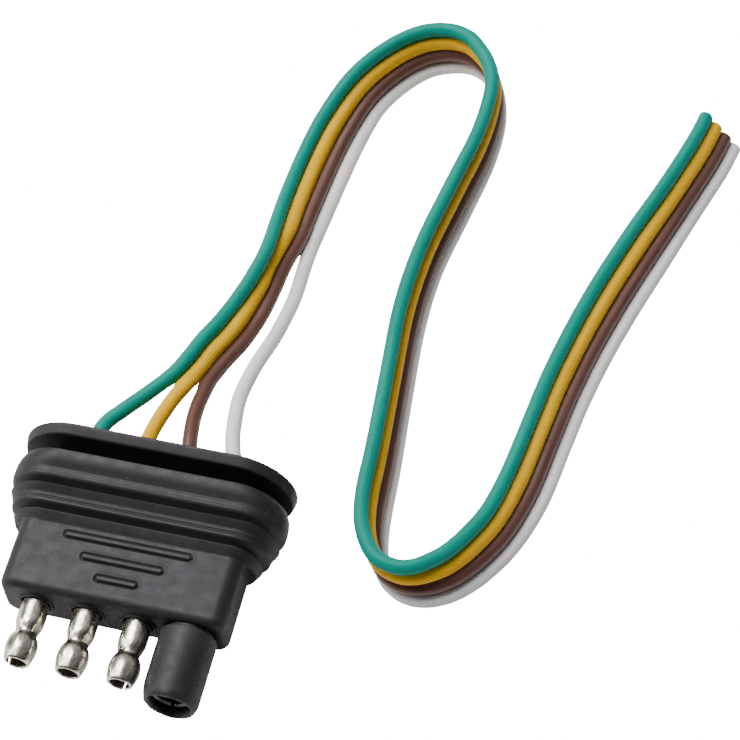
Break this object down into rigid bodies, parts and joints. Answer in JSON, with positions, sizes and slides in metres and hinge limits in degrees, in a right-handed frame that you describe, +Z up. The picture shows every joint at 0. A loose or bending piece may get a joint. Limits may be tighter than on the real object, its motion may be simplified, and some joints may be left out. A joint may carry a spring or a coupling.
{
  "type": "trailer wiring connector",
  "caption": "Flat moulded trailer-light connector: bare bullet pins beside a shrouded ground socket, a ribbed strain relief with an oval flange, and a bonded ribbon of coloured wires.",
  "frame": {"origin": "on the surface the connector lies on, under the centre of the moulding's box", "axes": "+X along the row of contacts from the green wire's pin to the ground socket, -Y the way the contacts point, +Z up from the surface"},
  "size_m": [0.0931, 0.1272, 0.018],
  "materials": {
    "black_rubber": "satin black moulded rubber",
    "plated_terminal": "bright nickel-plated brass sheet",
    "green_insulation": "smooth satin vinyl, teal green",
    "yellow_insulation": "smooth satin vinyl, golden yellow",
    "brown_insulation": "smooth satin vinyl, dark brown",
    "white_insulation": "smooth satin vinyl, off-white",
    "bare_copper": "bare stranded copper"
  },
  "bodies": {
    "root": {"moulded_body": "black_rubber", "green_bullet_terminal": "plated_terminal", "yellow_bullet_terminal": "plated_terminal", "brown_bullet_terminal": "plated_terminal", "ground_socket_terminal": "plated_terminal", "green_wire_jacket": "green_insulation", "yellow_wire_jacket": "yellow_insulation", "brown_wire_jacket": "brown_insulation", "white_wire_jacket": "white_insulation", "green_copper_strands": "bare_copper", "yellow_copper_strands": "bare_copper", "brown_copper_strands": "bare_copper", "white_copper_strands": "bare_copper"}
  },
  "joints": []
}
